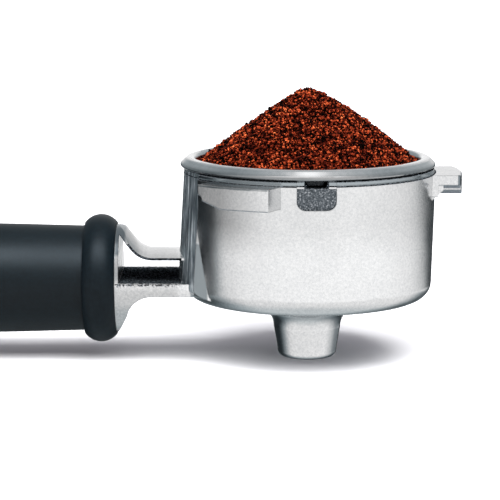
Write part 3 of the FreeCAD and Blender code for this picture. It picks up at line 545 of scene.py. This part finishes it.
def basket_steel():
    """Pressed steel, with painted shade low on the rolled rim, and painted shadow, near black, where the
    basket sits close to the cup.
    """
    mat, t, p = polished_steel_parts("basket_steel", 0.16)
    _, _, z = split(t, coords(t))
    openness = t.nodes.new("ShaderNodeAmbientOcclusion")
    openness.samples = 8
    openness.inputs["Distance"].default_value = 4 * MM
    # Painted shade: the rolled rim darker low down.
    shaded_low_rim = remap(t, z, 1.0 * MM, 1.7 * MM, 0.62, 1.0)
    colour = mix(t, 1.0, p.inputs["Base Color"].links[0].from_socket, shaded_low_rim, "MULTIPLY")
    # Painted shadow: black where the basket's outside is closed in by the cup.
    shadowed_by_cup = every(t, remap(t, openness.outputs["AO"], 0.62, 0.42), remap(t, z, 0.0, -0.4 * MM))
    feed(t, mix(t, shadowed_by_cup, colour, SHADOW_BLACK), p.inputs["Base Color"])
    return mat


def plastic(name, colour, rough, grain_scale, grain_depth, gloss=0.2):
    """Moulded plastic or rubber: one colour with a slight mottle, and a fine spark-eroded grain."""
    mat, t, p = new_material(name)
    grain = noise(t, coords(t), grain_scale, 4, 0.6)
    cloud = noise(t, coords(t), 60, 3, 0.5)
    dark = tuple(c * 0.8 for c in colour)
    light = tuple(c * 1.25 for c in colour)
    feed(t, ramp(t, remap(t, grain, 0.3, 0.7), [(0, dark), (1, light)]), p.inputs["Base Color"])
    feed(t, remap(t, cloud, 0.3, 0.7, rough - 0.04, rough + 0.04), p.inputs["Roughness"])
    p.inputs["Specular IOR Level"].default_value = gloss
    feed(t, bump(t, grain, 0.3, grain_depth * MM, soft_edge(t, 0.3 * MM)), p.inputs["Normal"])
    return mat


MATERIALS = {
    "filter_holder": cast_metal(),
    "filter_basket": basket_steel(),
    "basket_retaining_spring": polished_steel("spring_steel", 0.28),
    "spout_insert": plastic("insert_plastic", (0.015, 0.015, 0.016), 0.45, 900, 0.02),
    "collar_ring": plastic("collar_rubber", (0.0026, 0.0058, 0.0082), 0.42, 1100, 0.015, gloss=0.12),
    "handle_core": plastic("core_plastic", (0.015, 0.015, 0.016), 0.5, 900, 0.02),
    "grip_sleeve": plastic("grip_rubber", (0.0016, 0.0048, 0.0070), 0.46, 1300, 0.02, gloss=0.17),
    "handle_bolt": polished_steel("bolt_steel", 0.3),
    "flat_washer": polished_steel("washer_steel", 0.3),
    "lock_washer": polished_steel("spring_washer_steel", 0.34),
    "end_cap": plastic("cap_plastic", (0.009, 0.011, 0.013), 0.38, 900, 0.02),
    "cap_disc": polished_steel("disc_steel", 0.24),
}
for name, mat in MATERIALS.items():
    put_material(node[name], mat)

# ---------------------------------------------------------------- coffee heap

# In millimetres; only build_coffee turns it into metres.
GROUNDS_LOW, GROUNDS_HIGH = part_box("coffee_grounds")
WALL = (GROUNDS_HIGH[0] - GROUNDS_LOW[0]) / 2 / MM
BOTTOM = GROUNDS_LOW[2] / MM
HEAP_TOP = GROUNDS_HIGH[2] / MM - 0.2
HEAP_EDGE, HEAP_RADIUS, HEAP_BLUNT, HEAP_SWELL = 1.0, 27.0, 1.6, 0.55
HUB = 0.6  # the radius of the innermost ring of the bed's bottom
BED_HEART = -4.0  # the height on the axis from which the bed's lumps swell
FOOT_TAPER, FOOT_RADIUS = 5.6, 24.4
BED_RINGS, BED_SPOKES = 120, 220
WALL_ROWS, TAPER_ROWS, FLOOR_ROWS = 40, 8, 20
BED_LUMPS, BED_SINK = [(0.30, 1.5, 5), (0.38, 3.4, 4)], 0.45  # each lump: height, size and count of waves
HILLS, CLODS, GRAIN_SINK = (0.52, 2.6, 5), (0.46, 1.4, 4), 0.2
TOP_GRAINS, SIDE_GRAINS, FOOT_GRAINS = 21000, 4500, 3500
TOP_SIZES, TOP_SPREAD = (0.42, 0.98), 0.30
INNER_SIZES, INNER_SPREAD = (0.5, 0.9), 0.05
GRAIN_DENT, GRAIN_SQUASH = 0.32, (0.6, 1.15)
SLOPE_STEP = 0.3
GOLDEN = (1 + 5**0.5) / 2


def build_mesh(name, verts, faces):
    """An object from arrays of points and of triangles."""
    mesh = bpy.data.meshes.new(name)
    mesh.vertices.add(len(verts))
    mesh.vertices.foreach_set("co", np.asarray(verts, dtype=np.float32).ravel())
    faces = np.asarray(faces, dtype=np.int32)
    mesh.loops.add(faces.size)
    mesh.loops.foreach_set("vertex_index", faces.ravel())
    mesh.polygons.add(len(faces))
    mesh.polygons.foreach_set("loop_start", np.arange(len(faces), dtype=np.int32) * 3)
    mesh.update(calc_edges=True)
    mesh.validate()
    obj = bpy.data.objects.new(name, mesh)
    bpy.context.scene.collection.objects.link(obj)
    return obj


def lumps(rng, points, height, size, count):
    """Smooth random lumps at 3-D points, from count randomly turned waves of one size."""
    total = np.zeros(len(points))
    for _ in range(count):
        axes = rng.normal(size=(3, 3))
        axes /= np.linalg.norm(axes, axis=1)[:, None]
        phase = rng.uniform(0, 2 * math.pi, 3)
        wave = np.sin(points @ axes.T * (2 * math.pi / size) + phase)
        total += wave[:, 0] * wave[:, 1] + 0.5 * wave[:, 2]
    return height * total / (1.2 * count)


def heap_height(r, angle):
    """Height of the heap's surface: a cone with a blunt tip, slightly full flanks and a slow sway."""
    cone = np.sqrt(r**2 + HEAP_BLUNT**2) - HEAP_BLUNT
    reach = math.hypot(HEAP_RADIUS, HEAP_BLUNT) - HEAP_BLUNT
    share = cone / reach
    flank = HEAP_SWELL * np.sin(np.clip(share, 0, 1) * math.pi)
    sway = 0.5 * np.sin(angle * 2 + 0.6) + 0.3 * np.sin(angle * 3 + 2.0)
    halfway = np.sin(np.clip(r / HEAP_RADIUS, 0, 1) * math.pi)
    return HEAP_TOP - (HEAP_TOP - HEAP_EDGE) * share + flank + sway * halfway


def icosahedron():
    """The twelve corners of a unit icosahedron and its twenty faces."""
    corners = []
    for i in range(3):
        for a in (-1, 1):
            for b in (-GOLDEN, GOLDEN):
                corner = [0.0, 0.0, 0.0]
                corner[(i + 1) % 3] = a
                corner[(i + 2) % 3] = b
                corners.append(corner)
    corners = np.array(corners)
    faces = []
    for i in range(12):
        for j in range(i + 1, 12):
            for k in range(j + 1, 12):
                sides = [corners[i] - corners[j], corners[j] - corners[k], corners[k] - corners[i]]
                if all(abs(np.linalg.norm(side) - 2) < 0.01 for side in sides):
                    outward = np.dot(np.cross(sides[0], sides[1]), corners[i]) > 0
                    faces.append((i, j, k) if outward else (i, k, j))
    return corners / math.hypot(1, GOLDEN), np.array(faces)


GRAIN_CORNERS, GRAIN_FACES = icosahedron()


def coffee_material():
    """Roasted coffee: each grain its own shade, from almost black to a bright red-brown."""
    mat, t, p = new_material("ground_coffee")
    island = t.nodes.new("ShaderNodeNewGeometry").outputs["Random Per Island"]
    speck = noise(t, coords(t), 1900, 3, 0.7)
    mottle = noise(t, coords(t), 260, 3, 0.6)
    shade = compute(t, "ADD", compute(t, "MULTIPLY", island, 0.72), remap(t, speck, 0.3, 0.7, -0.08, 0.22))
    shade = compute(t, "ADD", shade, remap(t, mottle, 0.35, 0.65, -0.10, 0.10))
    stops = [
        (0.14, (0.0008, 0.0004, 0.0003)),
        (0.33, (0.005, 0.0010, 0.0007)),
        (0.48, (0.045, 0.0050, 0.0024)),
        (0.64, (0.20, 0.024, 0.008)),
        (0.80, (0.52, 0.085, 0.026)),
        (1.0, (0.95, 0.27, 0.085)),
    ]
    feed(t, ramp(t, shade, stops), p.inputs["Base Color"])
    p.inputs["Roughness"].default_value = 0.6
    p.inputs["Specular IOR Level"].default_value = 0.03
    feed(t, bump(t, speck, 0.6, 0.12 * MM), p.inputs["Normal"])
    return mat


def grains(rng, centres, normals, sizes, spread):
    """Corners of irregular grains, one at each centre, pushed in or out along the normal by up to spread."""
    count = len(centres)
    small, large = sizes
    width = small * (large / small) ** rng.beta(1.6, 2.2, count)
    squash = rng.uniform(*GRAIN_SQUASH, (count, 1, 3))
    shape = GRAIN_CORNERS[None] * (1 + rng.uniform(-GRAIN_DENT, GRAIN_DENT, (count, 12, 1))) * squash
    q = rng.normal(size=(count, 4))
    q /= np.linalg.norm(q, axis=1)[:, None]
    w, x, y, z = q.T
    turn = np.stack([
        1 - 2 * (y * y + z * z), 2 * (x * y - z * w), 2 * (x * z + y * w),
        2 * (x * y + z * w), 1 - 2 * (x * x + z * z), 2 * (y * z - x * w),
        2 * (x * z - y * w), 2 * (y * z + x * w), 1 - 2 * (x * x + y * y),
    ], -1).reshape(count, 3, 3)
    shape = np.einsum("nij,nkj->nki", turn, shape) * (width / 2)[:, None, None]
    offset = rng.uniform(-spread, spread, count)
    return (shape + (centres + normals * offset[:, None])[:, None]).reshape(-1, 3)


def bed_rows():
    """Radius and height of each ring of points down the bed's wall, along its taper and over its bottom."""
    shoulder = BOTTOM + FOOT_TAPER
    rows = [(WALL, z) for z in np.linspace(HEAP_EDGE, shoulder, WALL_ROWS)[1:]]
    for share in np.linspace(0, 1, TAPER_ROWS)[1:]:
        rows.append((WALL - (WALL - FOOT_RADIUS) * share, BOTTOM + FOOT_TAPER * (1 - share)))
    rows += [(r, BOTTOM) for r in np.linspace(FOOT_RADIUS, HUB, FLOOR_ROWS)[1:]]
    return rows


def coffee_bed(rng):
    """The closed body under the grains: its points and its triangles."""
    angles = np.linspace(0, 2 * math.pi, BED_SPOKES, endpoint=False)
    r, turn = np.meshgrid(np.linspace(0, WALL, BED_RINGS)[1:], angles, indexing="ij")
    r, turn = r.ravel(), turn.ravel()
    top = np.column_stack([r * np.cos(turn), r * np.sin(turn), heap_height(r, turn)])
    rows = bed_rows()
    below_top = np.concatenate([
        np.column_stack([radius * np.cos(angles), radius * np.sin(angles), np.full(BED_SPOKES, z)])
        for radius, z in rows
    ])
    verts = np.vstack([[(0, 0, HEAP_TOP)], top, below_top, [(0, 0, BOTTOM)]])
    rough = sum(lumps(rng, verts, *lump) for lump in BED_LUMPS) - BED_SINK
    outward = verts - np.array([0, 0, BED_HEART])
    outward /= np.linalg.norm(outward, axis=1)[:, None]
    verts = verts + outward * rough[:, None]

    total = BED_RINGS - 1 + len(rows)
    ring = 1 + np.arange(total)[:, None] * BED_SPOKES + np.arange(BED_SPOKES)[None, :]
    beside = np.roll(ring, -1, axis=1)
    a, b, c, d = ring[:-1], beside[:-1], beside[1:], ring[1:]
    faces = np.concatenate([
        np.stack([a, d, b], -1).reshape(-1, 3),
        np.stack([b, d, c], -1).reshape(-1, 3),
        np.stack([np.zeros(BED_SPOKES, int), ring[0], beside[0]], -1),
        np.stack([np.full(BED_SPOKES, len(verts) - 1), beside[-1], ring[-1]], -1),
    ])
    return verts, faces


def top_grains(rng):
    """Loose grains over the heap, on low hills with clods."""
    r = WALL * np.sqrt(rng.uniform(0, 1, TOP_GRAINS))
    turn = rng.uniform(0, 2 * math.pi, TOP_GRAINS)
    outer, inner = heap_height(r + SLOPE_STEP, turn), heap_height(np.maximum(r - SLOPE_STEP, 0), turn)
    slope = np.where(r < 0.5, 0, (outer - inner) / (2 * SLOPE_STEP))
    centre = np.column_stack([r * np.cos(turn), r * np.sin(turn), heap_height(r, turn)])
    normal = np.column_stack([-slope * np.cos(turn), -slope * np.sin(turn), np.ones(TOP_GRAINS)])
    normal /= np.linalg.norm(normal, axis=1)[:, None]
    hills = lumps(rng, centre, *HILLS)
    clods = np.clip(lumps(rng, centre, *CLODS), 0, CLODS[0])
    centre += normal * (hills + clods - GRAIN_SINK)[:, None]
    return grains(rng, centre, normal, TOP_SIZES, TOP_SPREAD)


def side_grains(rng):
    """Grains pressed flush into the side that touches the basket's wall."""
    turn = rng.uniform(0, 2 * math.pi, SIDE_GRAINS)
    height = rng.uniform(BOTTOM + FOOT_TAPER + 0.2, 0.6, SIDE_GRAINS)
    normal = np.column_stack([np.cos(turn), np.sin(turn), np.zeros(SIDE_GRAINS)])
    centre = normal * (WALL - 0.5)
    centre[:, 2] = height
    return grains(rng, centre, normal, INNER_SIZES, INNER_SPREAD)


def foot_grains(rng):
    """Grains pressed flush into the underside."""
    r = (FOOT_RADIUS - 0.2) * np.sqrt(rng.uniform(0, 1, FOOT_GRAINS))
    turn = rng.uniform(0, 2 * math.pi, FOOT_GRAINS)
    centre = np.column_stack([r * np.cos(turn), r * np.sin(turn), np.full(FOOT_GRAINS, BOTTOM + 0.45)])
    normal = np.tile((0, 0, -1.0), (FOOT_GRAINS, 1))
    return grains(rng, centre, normal, INNER_SIZES, INNER_SPREAD)


def build_coffee():
    """The bed and its loose grains as one piece, in place of the CAD's smooth heap."""
    rng = np.random.default_rng(54)
    verts, faces = coffee_bed(rng)
    loose = np.vstack([top_grains(rng), side_grains(rng), foot_grains(rng)])
    first_corners = np.arange(TOP_GRAINS + SIDE_GRAINS + FOOT_GRAINS) * len(GRAIN_CORNERS)
    loose_faces = (GRAIN_FACES[None] + first_corners[:, None, None]).reshape(-1, 3) + len(verts)
    obj = build_mesh("coffee_heap", np.vstack([verts, loose]) * MM, np.vstack([faces, loose_faces]))
    put_material(obj, coffee_material())
    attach(obj, "grounds")
    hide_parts("coffee_grounds")


# ---------------------------------------------------------------- floor


def build_floor():
    """A white floor under the spout. It brightens away from the object, as an overexposed sweep does."""
    bpy.ops.mesh.primitive_plane_add(size=8, location=(0, 0, cad_bounds[0][2]))
    floor = bpy.context.object
    floor.name = "floor"
    mat, t, p = new_material("floor_paper")
    fine = noise(t, coords(t), 30, 3, 0.5)
    feed(t, ramp(t, fine, [(0.3, (0.60, 0.60, 0.61)), (0.7, (0.62, 0.62, 0.63))]), p.inputs["Base Color"])
    p.inputs["Roughness"].default_value = 0.9
    p.inputs["Specular IOR Level"].default_value = 0.0
    x, y, _ = split(t, coords(t))
    p.inputs["Emission Color"].default_value = (1, 1, 1, 1)
    feed(t, remap(t, distance(t, x, y), 0.20, 0.45, 0.0, 0.9), p.inputs["Emission Strength"])
    put_material(floor, mat)
    floor.visible_glossy = False
    return floor


# ---------------------------------------------------------------- light

# What the metal mirrors around it, at five heights: (degrees round from the camera towards +X, brightness).
LOW_FLAGS = [
    (-180, 1.5), (-174, 1.5), (-168, 0.05), (-112, 0.02), (-98, 0.03), (-91, 0.42), (-85, 0.90), (-77, 0.88),
    (-64, 1.04), (-50, 1.08), (-26, 1.18), (0, 1.20), (42, 1.22), (66, 1.14), (86, 1.02), (102, 0.92),
    (114, 0.90), (124, 0.66), (131, 0.08), (150, 0.03), (168, 0.05), (174, 1.5), (180, 1.5),
]
FOOT_FLAGS = [
    (-180, 0.30), (-150, 0.05), (-116, 0.06), (-90, 0.45), (-70, 0.80), (-50, 0.88), (70, 0.92), (112, 0.88),
    (130, 0.40), (150, 0.05), (180, 0.30),
]
MID_FLAGS = [
    (-180, 1.0), (-171, 0.90), (-161, 0.36), (-140, 0.28), (-95, 0.20), (-70, 0.50), (-40, 0.60), (40, 0.60),
    (75, 0.50), (100, 0.30), (140, 0.40), (156, 0.50), (168, 0.90), (180, 1.0),
]
HIGH_FLAGS = [
    (-180, 0.60), (-120, 0.26), (-85, 0.30), (-50, 0.72), (50, 0.80), (85, 0.42), (120, 0.34), (180, 0.60),
]
ZENITH_FLAGS = [
    (-180, 0.60), (-115, 0.40), (-75, 0.50), (-45, 1.25), (45, 1.35), (75, 0.60), (115, 0.45), (180, 0.60),
]
# Going up or down from LOW_FLAGS, each table takes over between these two elevations, in degrees.
TAKEOVERS = [(-15, -18, FOOT_FLAGS), (-4, 5, MID_FLAGS), (20, 38, HIGH_FLAGS), (52, 70, ZENITH_FLAGS)]
NADIR = (-40, -68)
LEAN_HEIGHTS, LEAN_ANGLES = (-13, -8), (-26, 16)
LEAN_SIDE, LEAN_FADE = (1.2, 2.75), 0.2  # radians round from the camera
NADIR_GREY = (0.62, 0.65, 0.66, 1)
SLATE_TINT = (0.82, 1.0, 1.08, 1)
FILL_COLOUR = (0.80, 0.78, 0.84, 1)


def flags(tree, around, table):
    """Brightness by direction around the object."""
    return ramp(tree, around, [((angle + 180) / 360, value) for angle, value in table])


def between(tree, height, start, full):
    """0 at the start elevation and 1 at the full one, both in degrees."""
    return remap(tree, height, math.radians(start), math.radians(full))


def mirrored_panels(tree):
    """The bright panels and dark flags. On the right the low ones lean: they shift round with the height."""
    x, y, z = split(tree, tree.nodes.new("ShaderNodeTexCoord").outputs["Generated"])
    turn = compute(tree, "ARCTAN2", x, compute(tree, "MULTIPLY", y, -1.0))
    height = compute(tree, "ARCSINE", z)
    around = remap(tree, turn, -math.pi, math.pi)
    lean = remap(tree, height, *np.radians(LEAN_HEIGHTS + LEAN_ANGLES))
    lean = every(tree, lean, within(tree, turn, *LEAN_SIDE, LEAN_FADE))
    leaning = remap(tree, compute(tree, "ADD", turn, lean), -math.pi, math.pi)
    mirrored = flags(tree, leaning, LOW_FLAGS)
    for start, full, table in TAKEOVERS:
        mirrored = mix(tree, between(tree, height, start, full), mirrored, flags(tree, around, table))
    mirrored = mix(tree, between(tree, height, *NADIR), mirrored, NADIR_GREY)
    return mix(tree, remap(tree, mirrored, 0.7, 0.1), mirrored, SLATE_TINT, "MULTIPLY")


def studio_world():
    """White for the camera, even and slightly violet for soft fill, and panels and flags for the metal."""
    world = bpy.data.worlds.new("studio")
    world.use_nodes = True
    bpy.context.scene.world = world
    t = world.node_tree
    t.nodes.clear()
    path = t.nodes.new("ShaderNodeLightPath")
    colour = mix(t, path.outputs["Is Glossy Ray"], FILL_COLOUR, mirrored_panels(t))
    colour = mix(t, path.outputs["Is Camera Ray"], colour, (1, 1, 1, 1))
    background = t.nodes.new("ShaderNodeBackground")
    feed(t, colour, background.inputs[0])
    out = t.nodes.new("ShaderNodeOutputWorld")
    t.links.new(background.outputs[0], out.inputs["Surface"])


def area_light(name, energy, size, location, tilt, sideways=0):
    """A rectangular lamp that shines down, tilted by these degrees towards +Y and sideways towards -X."""
    lamp = bpy.data.objects.new(name, bpy.data.lights.new(name, "AREA"))
    lamp.data.energy = energy
    lamp.data.shape = "RECTANGLE"
    lamp.data.size, lamp.data.size_y = size
    lamp.location = location
    lamp.rotation_euler = (math.radians(tilt), math.radians(sideways), 0)
    bpy.context.scene.collection.objects.link(lamp)
    return lamp


def light_only(lamp, name, objects):
    """Lets a lamp light these objects only."""
    group = bpy.data.collections.new(name)
    for obj in objects:
        group.objects.link(obj)
    lamp.light_linking.receiver_collection = group


def build_lights(floor):
    """A soft key for everything, a wash for the floor, and a glint along the handle."""
    key = area_light("key", 14, (0.9, 0.7), (0.10, -0.20, 0.80), 14, 7)
    key.visible_glossy = False
    wash = area_light("floor_wash", 9.5, (0.9, 0.4), (-0.03, -0.27, 0.42), 29)
    light_only(wash, "floor_only", [floor])
    glint = area_light("handle_glint", 13, (1.0, 0.42), (-0.06, -0.43, 0.66), 32)
    glint.data.color = (0.88, 1.0, 1.1)
    glint.visible_diffuse = False
    light_only(glint, "handle_only", [node[name] for name in ("collar_ring", "grip_sleeve", "end_cap")])


# ---------------------------------------------------------------- camera

CAMERA_PLACE = (-14.17, -520, 63.56)  # millimetres
CAMERA_DIP = 0.161  # radians below level
CAMERA_LENS, CAMERA_SENSOR = 153.4, 36


def build_camera():
    """A long lens in front of the cup, looking slightly down."""
    cam = bpy.data.objects.new("camera", bpy.data.cameras.new("camera"))
    cam.data.sensor_width = CAMERA_SENSOR
    cam.data.lens = CAMERA_LENS
    cam.data.clip_start = 0.01
    cam.location = [length * MM for length in CAMERA_PLACE]
    cam.rotation_euler = (math.radians(90) - CAMERA_DIP, 0, 0)
    bpy.context.scene.collection.objects.link(cam)
    bpy.context.scene.camera = cam


build_coffee()
floor = build_floor()
studio_world()
build_lights(floor)
build_camera()
bpy.context.scene.view_settings.view_transform = "Standard"
